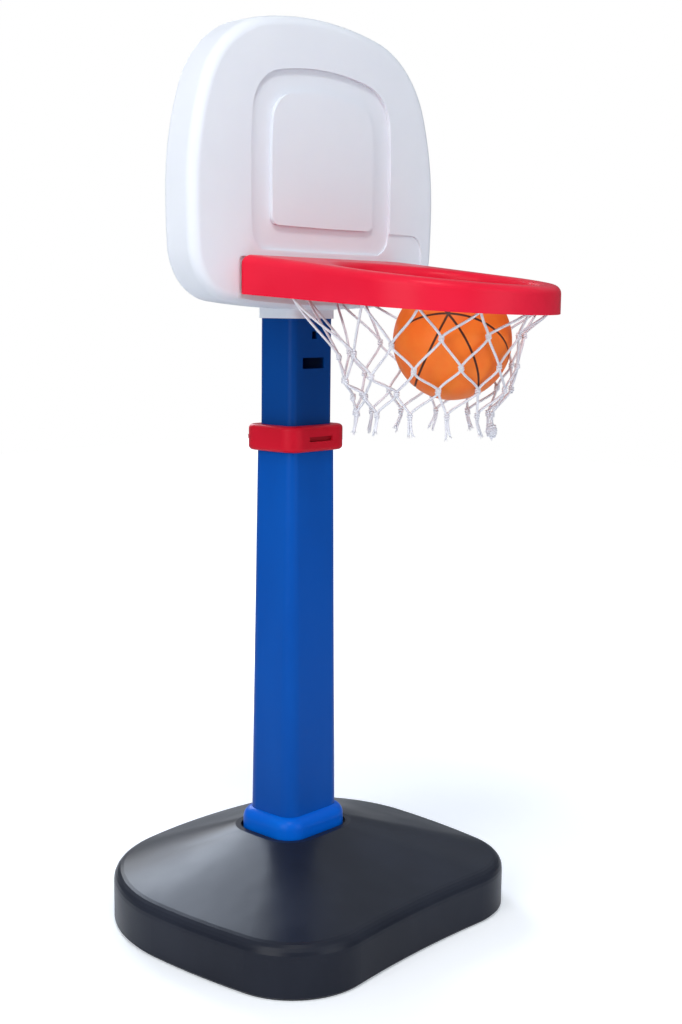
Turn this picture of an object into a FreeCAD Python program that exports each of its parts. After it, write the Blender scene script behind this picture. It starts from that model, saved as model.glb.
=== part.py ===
import FreeCAD, Part
import math
import os

# Toy basketball game: a tank base, a two-part pole, a hollow backboard, a ring, a net and a ball.
# Lengths are millimetres and angles are degrees.
# The origin is on the floor under the middle of the pole, the ring faces -Y and Z is up.

# Base tank
base_half_width = 279.0
base_front_reach = 258.0
base_back_reach = 233.0
base_widest_y = -10.0
base_front_corner_radius = 118.0
base_back_corner_radius = 186.0
base_front_start_angle = -4.8
base_front_end_angle = 81.0
base_back_start_angle = 8.0
base_back_end_angle = 50.0
base_wall = 3.5
base_side_height = 59.0
base_edge_radius = 20.0
base_edge_steps = 5
base_edge_turn = 75.0
base_foot_radius = 5.0
base_peak_height = 130.0
base_peak_margin = 10.0
base_floor_pad = 6.0
well_clearance = 0.4
recess_gap = 4.0
recess_depth = 7.0

# Filler pocket, cap and washer in the roof of the tank, behind the pole
filler_x = 100.0
filler_y = 110.0
filler_pocket_radius = 27.0
filler_pocket_floor_z = 93.0
filler_bore = 30.0
filler_cap_radius = 22.0
filler_cap_thickness = 5.0
filler_plug_length = 14.0
filler_plug_clearance = 0.3
filler_grip_height = 6.0
filler_grip_width = 5.0
washer_thickness = 1.5
washer_width = 5.0

# Lower pole
lower_pole_width = 97.3
lower_pole_depth = 78.1
lower_pole_corner = 14.0
lower_pole_growth = 9.0
lower_pole_wall = 3.0
lower_pole_foot_z = 30.0
lower_pole_foot_floor = 4.0
foot_boss_radius = 9.0
foot_boss_height = 26.0
foot_screw_spacing = 50.0
foot_screw_radius = 3.0
foot_screw_head_radius = 7.0
foot_screw_head_height = 4.0
foot_screw_clearance = 0.3
foot_counterbore_radius = 10.0
foot_screw_gap = 1.5

# Skirt round the foot of the pole
skirt_overhang = 11.0
skirt_height = 37.0
skirt_corner = 32.0
skirt_round = 18.0
skirt_wall = 3.0
skirt_clearance = 0.3

# Collar and lock bar
lock_z = 728.5
slot_pitch = 110.0
collar_width = 123.0
collar_depth = 104.0
collar_corner = 25.0
collar_below = 18.5
collar_above = 19.5
collar_round = 6.0
collar_bore_clearance = 0.6
collar_seat_clearance = 0.3
collar_floor = 4.0
slit_width = 49.0
slit_height = 7.0
chamber_front_wall = 4.0
lock_play = 0.5
lock_bar_front = 5.7
lock_bite = 6.5
lock_tongue_width = 42.0
lock_pole_clearance = 0.8
lock_arm = 3.5
lock_tab_width = 44.0
lock_tab_reach = 9.0
lock_tab_corner = 4.0
collar_screw_spacing = 60.0
collar_screw_drop = 13.0
collar_screw_radius = 1.9
collar_screw_head_radius = 3.6
collar_screw_head_height = 2.4
screw_hole_clearance = 0.2

# Upper pole and its end glide
upper_pole_width = 89.0
upper_pole_depth = 70.0
upper_pole_corner = 12.0
upper_pole_wall = 3.0
upper_pole_bottom_z = 398.0
upper_slot_width = 46.0
upper_slot_height = 16.0
slots_above_lock = 1
slots_below_lock = 2
snap_window = 11.0
snap_window_x = 2.0
snap_window_drop = 24.0
glide_thickness = 6.0
glide_plug_height = 20.0
glide_plug_clearance = 0.2
glide_side_clearance = 0.4
glide_wall = 3.0

# Backboard
board_half_width = 253.0
board_widest_z = 1072.0
board_top_reach = 248.0
board_bottom_reach = 156.0
board_shoulder_radius = 150.0
board_corner_radius = 78.0
board_top_start_angle = 11.7
board_top_end_angle = 70.3
board_bottom_start_angle = 6.0
board_bottom_end_angle = 86.0
board_front_reach = 54.0
board_back_reach = 4.0
board_front_round = 14.0
board_back_round = 8.0
board_wall = 3.0

# Channel, target panel, seat of the ring and side pocket moulded in the face of the board
channel_half_width = 146.0
channel_middle_z = 1130.0
channel_top_reach = 120.0
channel_bottom_reach = 134.0
channel_top_radius = 62.0
channel_bottom_radius = 30.0
channel_depth = 6.0
panel_half_width = 106.0
panel_top_reach = 88.0
panel_bottom_reach = 99.0
panel_top_radius = 42.0
panel_bottom_radius = 12.0
face_crown_angle = 12.0
face_side_angle = 84.0
face_foot_angle = 1.0
face_foot_side_angle = 88.5
seat_margin = 2.0
seat_top_drop = 3.0
seat_corner = 6.0
seat_edge_margin = 5.0
seat_depth = 2.5
pocket_inner_x = 120.0
pocket_outer_x = 221.0
pocket_top_z = 1030.0
pocket_corner = 24.0
pocket_edge_margin = 16.0

# Neck socket of the board
neck_bottom_z = 903.0
neck_clearance = 0.4
neck_wall = 3.2
neck_insertion = 137.0
neck_top_round = 2.5
neck_screw_shares = (0.42, 0.8)
neck_screw_radius = 2.5
neck_screw_head_radius = 5.5
neck_screw_head_height = 3.0
neck_screw_tip = 5.0

# Ring
ring_half_width = 166.0
ring_plate_length = 44.0
ring_rim_width = 29.0
ring_wall = 3.0
ring_top_z = 990.0
ring_bottom_z = 936.0
ring_top_droop = 6.4
ring_bottom_droop = 3.7
ring_top_round = 12.0
ring_corner = 8.0
ring_hole_round = 11.0
front_hooks = 7
hook_plate_length = 20.0
hook_plate_thickness = 4.0
hook_bar = 4.0
hook_window = 11.0
hook_rise = 11.0
hook_side_share = 0.905
hook_back_share = 0.438
hook_back_inset = 24.0

# Bolts that hold the ring to the board
bolt_inner_margin = 81.0
bolt_outer_margin = 31.0
bolt_z = 962.0
bolt_radius = 3.0
bolt_clearance = 0.3
bolt_head_radius = 6.5
bolt_head_height = 4.0
bolt_tip = 3.0
bolt_column_radius = 9.0
washer_radius = 8.0
plate_washer_thickness = 1.5
nut_across = 11.0
nut_height = 5.5

# Net
net_cord_radius = 2.0
net_knot_radius = 4.4
net_loop_clearance = 0.4
net_tie_radius = 2.8
net_turn = -46.0
net_count = 12
net_top_z = 924.0
net_row_drops = (40.0, 80.0, 112.0, 146.0)
net_right_shares = (-0.0365, -0.060, -0.026, -0.110)
net_front_shares = (0.0073, 0.1022, 0.0438, 0.0219)
net_width_shares = (0.9161, 0.863, 0.785, 0.690)
net_depth_shares = (0.7518, 0.6277, 0.4380, 0.4380)
net_sag_shares = (0.23, 0.175, 0.095, 0.0)
net_sag_power = 3
net_tail_length = 28.0
net_tail_lean = 6.0

# Ball
ball_radius = 80.0
ball_wall = 3.0
ball_right_share = 0.0562
ball_forward_share = 0.165
ball_seat_clearance = 0.3
valve_radius = 5.0
valve_length = 12.0
valve_tilt = 62.0
thread_clearance = 0.05

# One small overrun for every cut
over = 5.0

# Places worked out from the sizes above
Vector = FreeCAD.Vector
UP = Vector(0, 0, 1)
lower_pole_top_z = lock_z - slit_height / 2 - collar_floor
skirt_bottom_z = base_peak_height - recess_depth
upper_pole_top_z = neck_bottom_z + neck_insertion
upper_slot_zs = [
    lock_z + slot_pitch * step for step in range(-slots_below_lock, slots_above_lock + 1)
]
ring_back_y = -(board_front_reach - seat_depth)
ring_hole_radius = ring_half_width - ring_rim_width
ring_centre_reach = ring_half_width + ring_plate_length
ring_centre_y = ring_back_y - ring_centre_reach
bolt_xs = [
    side * (ring_half_width - margin)
    for side, margin in ((-1, bolt_outer_margin), (-1, bolt_inner_margin),
                         (1, bolt_inner_margin), (1, bolt_outer_margin))
]


# Rounded outlines made of three tangent arcs in each quarter


def quarter_arcs(half_width, reach, middle_radius, start_angle, end_angle):
    """Radii and angles of the arcs from the end of the long axis round to the widest point."""
    start = math.radians(start_angle)
    end = math.radians(end_angle)
    width_left = half_width - middle_radius * (math.sin(end) - math.sin(start))
    reach_left = reach - middle_radius * (math.cos(start) - math.cos(end))
    determinant = math.sin(start) * math.cos(end) - (1 - math.sin(end)) * (1 - math.cos(start))
    first = (width_left * math.cos(end) - (1 - math.sin(end)) * reach_left) / determinant
    last = (math.sin(start) * reach_left - (1 - math.cos(start)) * width_left) / determinant
    return [
        (first, 0.0, start),
        (middle_radius, start, end),
        (last, end, math.pi / 2),
    ]


def quarter_points(arcs, reach, inset):
    """Start, middle and end point of each arc, moved inwards by the inset."""
    x = 0.0
    y = reach - inset
    points = []
    for radius, begin, finish in arcs:
        drawn = radius - inset
        middle = (begin + finish) / 2
        row = [(x, y)]
        for angle in (middle, finish):
            row.append((
                x + drawn * (math.sin(angle) - math.sin(begin)),
                y - drawn * (math.cos(begin) - math.cos(angle)),
            ))
        points.append(row)
        x, y = row[-1]
    return points


def outline_wire(half_width, upper, lower, middle_y, inset, z):
    """Closed outline whose upper and lower halves each have a reach, a radius and two angles."""
    edges = []
    halves = []
    for sign, (reach, radius, start_angle, end_angle) in ((1, upper), (-1, lower)):
        arcs = quarter_arcs(half_width, reach, radius, start_angle, end_angle)
        halves.append((sign, quarter_points(arcs, reach, inset)))
    for sign_y, rows in halves:
        for sign_x in (1, -1):
            for row in rows:
                ends = [Vector(sign_x * x, middle_y + sign_y * y, z) for x, y in row]
                edges.append(Part.Arc(ends[0], ends[1], ends[2]).toShape())
    return Part.Wire(Part.__sortEdges__(edges))


def rounded_wire(width, depth, corner, z):
    """Rectangle with round corners, centred on the pole."""
    x = width / 2
    y = depth / 2
    turn = corner * (1 - math.sqrt(0.5))
    edges = []
    spots = ((1, 1), (-1, 1), (-1, -1), (1, -1))
    for index, (sx, sy) in enumerate(spots):
        along_y = Vector(sx * x, sy * (y - corner), z)
        along_x = Vector(sx * (x - corner), sy * y, z)
        middle = Vector(sx * (x - turn), sy * (y - turn), z)
        first, last = (along_y, along_x) if sx == sy else (along_x, along_y)
        nx, ny = spots[(index + 1) % len(spots)]
        if nx != sx:
            following = Vector(nx * (x - corner), ny * y, z)
        else:
            following = Vector(nx * x, ny * (y - corner), z)
        edges.append(Part.Arc(first, middle, last).toShape())
        edges.append(Part.makeLine(last, following))
    return Part.Wire(edges)


def rounded_block(width, depth, corner, bottom, top):
    face = Part.Face(rounded_wire(width, depth, corner, bottom))
    return face.extrude(Vector(0, 0, top - bottom))


def box_between(low, high):
    size = [b - a for a, b in zip(low, high)]
    return Part.makeBox(size[0], size[1], size[2], Vector(*low))


def rod(radius, start, end):
    start = Vector(*start)
    way = Vector(*end) - start
    return Part.makeCylinder(radius, way.Length, start, way)


def save(name, shape):
    shape.exportStep("parts/" + name + ".step")
    print(name, "solids", len(shape.Solids), "volume", round(shape.Volume), "valid", shape.isValid())


# Base


def base_wire(inset, z):
    back = (base_back_reach + base_widest_y, base_back_corner_radius,
            base_back_start_angle, base_back_end_angle)
    front = (base_front_reach - base_widest_y, base_front_corner_radius,
             base_front_start_angle, base_front_end_angle)
    return outline_wire(base_half_width, back, front, -base_widest_y, inset, z)


def peak_wire(inset, z):
    """Flat top of the roof, just outside the recess of the skirt."""
    margin = recess_gap + base_peak_margin - inset
    half_width = lower_pole_width / 2 + lower_pole_growth + skirt_overhang + margin
    reach = lower_pole_depth / 2 + lower_pole_growth + skirt_overhang + margin
    side = (reach, skirt_corner + margin, base_back_start_angle / 2, 90 - base_back_start_angle / 2)
    return outline_wire(half_width, side, side, 0.0, 0.0, z)


def base_form(inset):
    """Tank with rounded lower and upper edges and a roof that rises to the pole."""
    wires = [base_wire(base_foot_radius + inset, inset)]
    wires.append(base_wire(inset, base_foot_radius + inset / 2))
    for step in range(base_edge_steps + 1):
        angle = math.radians(base_edge_turn * step / base_edge_steps)
        drawn_in = base_edge_radius * (1 - math.cos(angle))
        climb = (base_edge_radius - inset) * math.sin(angle)
        wires.append(base_wire(inset + drawn_in, base_side_height + climb))
    wires.append(peak_wire(inset, base_peak_height - inset))
    return Part.makeLoft(wires, True, True)


def base_shell():
    foot_width = lower_pole_width + 2 * lower_pole_growth
    foot_depth = lower_pole_depth + 2 * lower_pole_growth
    foot_corner = lower_pole_corner + lower_pole_growth
    gap = well_clearance
    well_wall = gap + base_wall
    skirt_width = foot_width + 2 * skirt_overhang
    skirt_depth = foot_depth + 2 * skirt_overhang
    well_block = rounded_block(foot_width + 2 * well_wall, foot_depth + 2 * well_wall,
                               foot_corner + well_wall, 0.0, skirt_bottom_z)
    recess_wall = recess_gap + base_wall
    recess_block = rounded_block(skirt_width + 2 * recess_wall, skirt_depth + 2 * recess_wall,
                                 skirt_corner + recess_wall, skirt_bottom_z - base_wall,
                                 base_peak_height)
    pocket_floor = filler_pocket_floor_z
    pocket_block = Part.makeCylinder(filler_pocket_radius + base_wall, base_peak_height - pocket_floor,
                                     Vector(filler_x, filler_y, pocket_floor - base_wall))
    cavity = base_form(base_wall).cut([well_block, recess_block, pocket_block])
    well = rounded_block(foot_width + 2 * gap, foot_depth + 2 * gap, foot_corner + gap,
                         lower_pole_foot_z, base_peak_height + over)
    recess = rounded_block(skirt_width + 2 * recess_gap, skirt_depth + 2 * recess_gap,
                           skirt_corner + recess_gap, skirt_bottom_z, base_peak_height + over)
    pocket = Part.makeCylinder(filler_pocket_radius, base_peak_height,
                               Vector(filler_x, filler_y, pocket_floor))
    filler = Part.makeCylinder(filler_bore / 2, base_peak_height,
                               Vector(filler_x, filler_y, pocket_floor - over))
    cuts = [cavity, well, recess, pocket, filler]
    for x in (-foot_screw_spacing / 2, foot_screw_spacing / 2):
        cuts.append(Part.makeCylinder(foot_counterbore_radius, lower_pole_foot_z - base_floor_pad + over,
                                      Vector(x, 0, -over)))
        cuts.append(Part.makeCylinder(foot_screw_radius + foot_screw_clearance, lower_pole_foot_z + over,
                                      Vector(x, 0, 0)))
    return base_form(0.0).cut(cuts)


def filler_cap():
    """Push-in cap with a plug below its flange and a grip bar on top."""
    seat = filler_pocket_floor_z + washer_thickness
    plug_radius = filler_bore / 2 - filler_plug_clearance
    flange = Part.makeCylinder(filler_cap_radius, filler_cap_thickness, Vector(filler_x, filler_y, seat))
    below = Vector(filler_x, filler_y, seat - filler_plug_length)
    plug = Part.makeCylinder(plug_radius, filler_plug_length, below)
    hollow = Part.makeCylinder(plug_radius - base_wall, filler_plug_length, below)
    top = seat + filler_cap_thickness
    rim = [edge for edge in flange.Edges if edge.BoundBox.ZMin > top - filler_cap_thickness / 2]
    flange = flange.makeFillet(filler_cap_thickness / 3, rim)
    half = filler_grip_width / 2
    reach = filler_cap_radius - filler_grip_width
    grip = box_between((filler_x - reach, filler_y - half, top),
                       (filler_x + reach, filler_y + half, top + filler_grip_height))
    tops = [edge for edge in grip.Edges if edge.BoundBox.ZMin > top + filler_grip_height / 2]
    grip = grip.makeFillet(filler_grip_width / 4, tops)
    return flange.fuse([plug.cut(hollow), grip]).removeSplitter()


def filler_washer():
    inner = filler_bore / 2 + filler_plug_clearance
    centre = Vector(filler_x, filler_y, filler_pocket_floor_z)
    disc = Part.makeCylinder(inner + washer_width, washer_thickness, centre)
    return disc.cut(Part.makeCylinder(inner, washer_thickness, centre))


# Lower pole, its screws and its skirt


def pole_taper(grown, corner, low, high):
    """Tapered block that follows the lower pole, wider or narrower by the given margin."""
    wires = []
    for z in (low, high):
        share = (lower_pole_top_z - z) / (lower_pole_top_z - lower_pole_foot_z)
        margin = lower_pole_growth * share + grown
        wires.append(rounded_wire(lower_pole_width + 2 * margin, lower_pole_depth + 2 * margin,
                                  corner + margin, z))
    return Part.makeLoft(wires, True, True)


def lower_pole():
    """Tapered tube with a closed foot and two bosses for the screws."""
    foot_z = lower_pole_foot_z
    outer = pole_taper(0.0, lower_pole_corner, foot_z, lower_pole_top_z)
    inner = pole_taper(-lower_pole_wall, lower_pole_corner, foot_z + lower_pole_foot_floor,
                       lower_pole_top_z + over)
    pole = outer.cut(inner)
    for x in (-foot_screw_spacing / 2, foot_screw_spacing / 2):
        boss = Part.makeCylinder(foot_boss_radius, lower_pole_foot_floor + foot_boss_height,
                                 Vector(x, 0, foot_z))
        hole = Part.makeCylinder(foot_screw_radius + thread_clearance, foot_boss_height,
                                 Vector(x, 0, foot_z))
        pole = pole.fuse(boss).cut(hole)
    z = lock_z - collar_screw_drop
    for x in (-collar_screw_spacing / 2, collar_screw_spacing / 2):
        pole = pole.cut(rod(collar_screw_radius + thread_clearance, (x, 0, z), (x, collar_depth, z)))
    return pole


def screw(head_radius, head_height, radius, under_head, tip):
    """Round-headed screw from the seat of its head to its tip, with a small drive hole."""
    under_head = Vector(*under_head)
    tip = Vector(*tip)
    way = (tip - under_head).normalize()
    top = under_head - way * head_height
    head = Part.makeCylinder(head_radius, head_height, top, way)
    shank = Part.makeCylinder(radius, (tip - under_head).Length, under_head, way)
    drive = Part.makeCylinder(radius / 2, head_height / 2, top, way)
    return head.fuse(shank).cut(drive)


def foot_screws():
    """Two screws driven up from under the tank into the foot of the pole."""
    seat = lower_pole_foot_z - base_floor_pad
    tip = lower_pole_foot_z + foot_boss_height - foot_screw_gap
    return Part.Compound([
        screw(foot_screw_head_radius, foot_screw_head_height, foot_screw_radius, (x, 0, seat), (x, 0, tip))
        for x in (-foot_screw_spacing / 2, foot_screw_spacing / 2)
    ])


def pole_skirt():
    """Rounded cover that drops over the pole and hides the mouth of the well."""
    bottom = skirt_bottom_z
    top = bottom + skirt_height
    width = lower_pole_width + 2 * (lower_pole_growth + skirt_overhang)
    depth = lower_pole_depth + 2 * (lower_pole_growth + skirt_overhang)
    thin = 2 * skirt_wall
    outer = rounded_block(width, depth, skirt_corner, bottom, top)
    outer = round_top(outer, top, skirt_round)
    inner = rounded_block(width - thin, depth - thin, skirt_corner - skirt_wall,
                          bottom - over, top - skirt_wall)
    inner = round_top(inner, top - skirt_wall, skirt_round - skirt_wall)
    return outer.cut([inner, pole_taper(skirt_clearance, lower_pole_corner, bottom - over, top + over)])


def round_top(block, top, radius):
    rim = [edge for edge in block.Edges if edge.BoundBox.ZMin > top - radius / 2]
    return block.makeFillet(radius, rim)


# Collar and lock bar


def lock_half_width():
    return upper_pole_width / 2 + lock_pole_clearance + lock_arm


def collar():
    """Band on top of the lower pole, with a flat chamber for the lock bar."""
    low = lock_z - collar_below
    high = lock_z + collar_above
    slit_low = lock_z - slit_height / 2
    slit_high = lock_z + slit_height / 2
    face = collar_depth / 2
    body = rounded_block(collar_width, collar_depth, collar_corner, low, high)
    rims = [edge for edge in body.Edges if edge.BoundBox.ZLength < collar_round / 10]
    body = body.makeFillet(collar_round, rims)
    seat = pole_taper(collar_seat_clearance, lower_pole_corner, low - over, lower_pole_top_z)
    bore = rounded_block(upper_pole_width + 2 * collar_bore_clearance,
                         upper_pole_depth + 2 * collar_bore_clearance,
                         upper_pole_corner + collar_bore_clearance, low, high + over)
    half = lock_half_width() + lock_play
    chamber = box_between((-half, chamber_front_wall - face, slit_low), (half, face + over, slit_high))
    slit = box_between((-slit_width / 2, -face - over, slit_low), (slit_width / 2, 0, slit_high))
    cuts = [seat, bore, chamber, slit]
    z = lock_z - collar_screw_drop
    for x in (-collar_screw_spacing / 2, collar_screw_spacing / 2):
        cuts.append(rod(collar_screw_radius + screw_hole_clearance, (x, 0, z), (x, face + over, z)))
        cuts.append(rod(collar_screw_head_radius + screw_hole_clearance,
                        (x, face - collar_screw_head_height, z), (x, face + over, z)))
    return body.cut(cuts)


def lock_bar():
    """Flat frame round the upper pole; its tongue enters a slot and its tab sticks out behind."""
    thick = slit_height - 2 * lock_play
    low = lock_z - thick / 2
    high = low + thick
    half = lock_half_width()
    tongue_tip = -upper_pole_depth / 2 - lock_play
    window_front = tongue_tip - lock_bite
    window_back = upper_pole_depth / 2 + lock_pole_clearance
    window_half = half - lock_arm
    back = collar_depth / 2 - lock_play
    plate = box_between((-half, window_front - lock_bar_front, low), (half, back, high))
    window = box_between((-window_half, window_front, low - over), (window_half, window_back, high + over))
    tongue = box_between((-lock_tongue_width / 2, window_front - lock_bar_front, low),
                         (lock_tongue_width / 2, tongue_tip, high))
    tab = box_between((-lock_tab_width / 2, window_back, low),
                      (lock_tab_width / 2, back + lock_tab_reach, high))
    corners = [edge for edge in tab.Edges
               if edge.BoundBox.ZLength > thick / 2 and edge.BoundBox.YMin > back]
    tab = tab.makeFillet(lock_tab_corner, corners)
    return plate.cut(window).fuse([tongue, tab]).removeSplitter()


def collar_screws():
    z = lock_z - collar_screw_drop
    seat = collar_depth / 2 - collar_screw_head_height
    tip = lower_pole_depth / 2 - lower_pole_wall / 2
    return Part.Compound([
        screw(collar_screw_head_radius, collar_screw_head_height, collar_screw_radius,
              (x, seat, z), (x, tip, z))
        for x in (-collar_screw_spacing / 2, collar_screw_spacing / 2)
    ])


# Upper pole and its glide


def neck_screw_zs():
    return [neck_bottom_z + neck_insertion * share for share in neck_screw_shares]


def upper_pole():
    """Straight tube with a slot in front and behind at each height."""
    thin = 2 * upper_pole_wall
    half_depth = upper_pole_depth / 2
    outer = rounded_block(upper_pole_width, upper_pole_depth, upper_pole_corner,
                          upper_pole_bottom_z, upper_pole_top_z)
    inner = rounded_block(upper_pole_width - thin, upper_pole_depth - thin,
                          upper_pole_corner - upper_pole_wall,
                          upper_pole_bottom_z - over, upper_pole_top_z + over)
    cuts = [inner]
    for z in upper_slot_zs:
        cuts.append(box_between(
            (-upper_slot_width / 2, -half_depth - over, z - upper_slot_height / 2),
            (upper_slot_width / 2, half_depth + over, z + upper_slot_height / 2)))
    window_z = neck_bottom_z - snap_window_drop
    half = snap_window / 2
    cuts.append(box_between((snap_window_x - half, -half_depth - over, window_z - half),
                            (snap_window_x + half, 0, window_z + half)))
    for z in neck_screw_zs():
        cuts.append(rod(neck_screw_radius + thread_clearance, (0, 0, z), (0, half_depth + over, z)))
    return outer.cut(cuts)


def upper_pole_glide():
    """Plug in the bottom of the upper pole; its flange runs inside the lower pole."""
    top = upper_pole_bottom_z
    bottom = top - glide_thickness
    side = lower_pole_wall + glide_side_clearance
    flange = rounded_block(lower_pole_width - 2 * side, lower_pole_depth - 2 * side,
                           lower_pole_corner - side, bottom, top)
    thin = upper_pole_wall + glide_plug_clearance
    plug = rounded_block(upper_pole_width - 2 * thin, upper_pole_depth - 2 * thin,
                         upper_pole_corner - thin, top, top + glide_plug_height)
    thin = thin + glide_wall
    hollow = rounded_block(upper_pole_width - 2 * thin, upper_pole_depth - 2 * thin,
                           upper_pole_corner - thin, bottom + glide_wall, top + glide_plug_height + over)
    return flange.fuse(plug).cut(hollow).removeSplitter()


# Backboard, drawn flat and then stood up so that its face looks along -Y


def stand_up(shape):
    turned = shape.copy()
    turned.rotate(Vector(0, 0, 0), Vector(1, 0, 0), 90)
    return turned


def board_block(inset, back, front, front_round, back_round):
    upper = (board_top_reach, board_shoulder_radius, board_top_start_angle, board_top_end_angle)
    lower = (board_bottom_reach, board_corner_radius,
             board_bottom_start_angle, board_bottom_end_angle)
    wire = outline_wire(board_half_width, upper, lower, board_widest_z, inset, back)
    block = Part.Face(wire).extrude(Vector(0, 0, front - back))
    for level, size in ((front, front_round), (back, back_round)):
        if size > 0:
            rim = [edge for edge in block.Edges
                   if abs(edge.BoundBox.Center.z - level) < size / 10
                   and edge.BoundBox.ZLength < size / 10]
            block = block.makeFillet(size, rim)
    return block


def face_block(half_width, upper, lower, grown, low, high):
    """Prism of the channel or the panel, grown by the given margin."""
    wire = outline_wire(half_width, upper, lower, channel_middle_z, -grown, low)
    return Part.Face(wire).extrude(Vector(0, 0, high - low))


def channel_ring(grown, low, high):
    crown = (face_crown_angle, face_side_angle)
    foot = (face_foot_angle, face_foot_side_angle)
    outer = face_block(channel_half_width, (channel_top_reach, channel_top_radius) + crown,
                       (channel_bottom_reach, channel_bottom_radius) + foot, grown, low, high)
    inner = face_block(panel_half_width, (panel_top_reach, panel_top_radius) + crown,
                       (panel_bottom_reach, panel_bottom_radius) + foot, -grown, low, high)
    return outer.cut(inner)


def face_recess(left, right, top, corner, margin, grown, low, high):
    """Shallow recess that runs down from its top and stops at a margin from the edge of the board."""
    plain = box_between((left - grown, 0, low), (right + grown, top + grown, high))
    corners = [edge for edge in plain.Edges
               if edge.BoundBox.ZLength > (high - low) / 2 and edge.BoundBox.YMin > top / 2]
    plain = plain.makeFillet(corner, corners)
    return plain.common(board_block(margin - grown, low, high, 0.0, 0.0))


def face_recesses(grown, low, high):
    """Seat that the ring is bolted to, and the pocket on its right-hand side."""
    half = ring_half_width + seat_margin
    seat = face_recess(-half, half, ring_top_z - seat_top_drop, seat_corner, seat_edge_margin,
                       grown, low, high)
    pocket = face_recess(pocket_inner_x, pocket_outer_x, pocket_top_z, pocket_corner,
                         pocket_edge_margin, grown, low, high)
    return seat.fuse(pocket)


def neck_block(grown, low, high):
    side = neck_clearance + grown
    return rounded_block(upper_pole_width + 2 * side, upper_pole_depth + 2 * side,
                         upper_pole_corner + side, low, high)


def backboard():
    """Hollow board with a recessed face, columns round the bolts and a socket for the pole."""
    front = board_front_reach
    back = -board_back_reach
    body = stand_up(board_block(0.0, back, front, board_front_round, board_back_round))
    cavity = board_block(board_wall, back + board_wall, front - board_wall,
                         board_front_round - board_wall, board_back_round - board_wall)
    channel = channel_ring(0.0, front - channel_depth, front + over)
    channel_back = channel_ring(board_wall, front - channel_depth - board_wall, front)
    recess = face_recesses(0.0, front - seat_depth, front + over)
    recess_back = face_recesses(board_wall, front - seat_depth - board_wall, front)
    columns = []
    holes = []
    for x in bolt_xs:
        columns.append(Part.makeCylinder(bolt_column_radius, front - back, Vector(x, bolt_z, back)))
        holes.append(Part.makeCylinder(bolt_radius + bolt_clearance, front - back + 2 * over,
                                       Vector(x, bolt_z, back - over)))
    cavity = stand_up(cavity.cut([channel_back, recess_back] + columns))
    neck_top = upper_pole_top_z + neck_wall
    neck = neck_block(neck_wall, neck_bottom_z, neck_top)
    cuts = [cavity.cut(neck), stand_up(channel), stand_up(recess)]
    cuts += [stand_up(hole) for hole in holes]
    cuts.append(neck_block(0.0, neck_bottom_z - over, upper_pole_top_z))
    for z in neck_screw_zs():
        cuts.append(rod(neck_screw_radius + screw_hole_clearance, (0, 0, z), (0, upper_pole_depth, z)))
    return body.fuse(round_top(neck, neck_top, neck_top_round)).cut(cuts)


def neck_screws():
    """Two screws from behind, through the socket into the back wall of the upper pole."""
    seat = upper_pole_depth / 2 + neck_clearance + neck_wall
    tip = upper_pole_depth / 2 - upper_pole_wall - neck_screw_tip
    return Part.Compound([
        screw(neck_screw_head_radius, neck_screw_head_height, neck_screw_radius, (0, seat, z), (0, tip, z))
        for z in neck_screw_zs()
    ])


# Ring


def ring_prism(inset):
    """Straight-sided tray with a half round front, seen from above."""
    half = ring_half_width - inset
    back = ring_back_y - inset
    low = ring_bottom_z - ring_half_width
    high = ring_top_z + ring_half_width
    left_back = Vector(-half, back, low)
    right_back = Vector(half, back, low)
    left_side = Vector(-half, ring_centre_y, low)
    right_side = Vector(half, ring_centre_y, low)
    tip = Vector(0, ring_centre_y - half, low)
    wire = Part.Wire([
        Part.makeLine(right_side, right_back),
        Part.makeLine(right_back, left_back),
        Part.makeLine(left_back, left_side),
        Part.Arc(left_side, tip, right_side).toShape(),
    ])
    block = Part.Face(wire).extrude(Vector(0, 0, high - low))
    upright = [edge for edge in block.Edges
               if edge.BoundBox.ZLength > half and edge.BoundBox.YMin > (back + ring_centre_y) / 2]
    return block.makeFillet(ring_corner, upright)


def below_droop(z_at_board, droop):
    """Block below a plane that starts at the board and droops forwards."""
    reach = 2 * (ring_centre_reach + ring_half_width)
    corner = Vector(-reach, ring_back_y - reach, z_at_board - reach)
    block = Part.makeBox(2 * reach, 2 * reach, reach, corner)
    block.rotate(Vector(0, ring_back_y, z_at_board), Vector(1, 0, 0), droop)
    return block


def droop_z(z_at_board, droop, y):
    return z_at_board + math.tan(math.radians(droop)) * (y - ring_back_y)


def ring_form(inset, radius):
    """Tray below the upper plane, with its top edge rounded."""
    top = ring_top_z - inset
    body = ring_prism(inset).common(below_droop(top, ring_top_droop))
    return body.makeFillet(radius, edges_on_droop(body, top, ring_top_droop))


def edges_on_droop(body, z_at_board, droop):
    found = []
    for edge in body.Edges:
        middle = edge.valueAt((edge.FirstParameter + edge.LastParameter) / 2)
        ends = [vertex.Point for vertex in edge.Vertexes]
        gaps = [abs(point.z - droop_z(z_at_board, droop, point.y)) for point in [middle] + ends]
        if max(gaps) < ring_wall / 10:
            found.append(edge)
    return found


def hook_spots():
    """Where the net hangs: round the front, one on each side and three along the back."""
    radius = (ring_half_width + ring_hole_radius) / 2
    spots = []
    for step in range(front_hooks):
        angle = math.pi + math.pi * step / (front_hooks - 1)
        spots.append((radius * math.cos(angle), ring_centre_y + radius * math.sin(angle), angle))
    side_y = ring_centre_y + hook_side_share * ring_hole_radius
    back_y = ring_back_y - hook_back_inset
    spots.append((radius, side_y, 0.0))
    for side in (1, 0, -1):
        spots.append((side * hook_back_share * ring_hole_radius, back_y, math.pi / 2))
    spots.append((-radius, side_y, 0.0))
    return spots


def hook_bar_z(y):
    return droop_z(ring_bottom_z, ring_bottom_droop, y) + hook_rise


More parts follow.
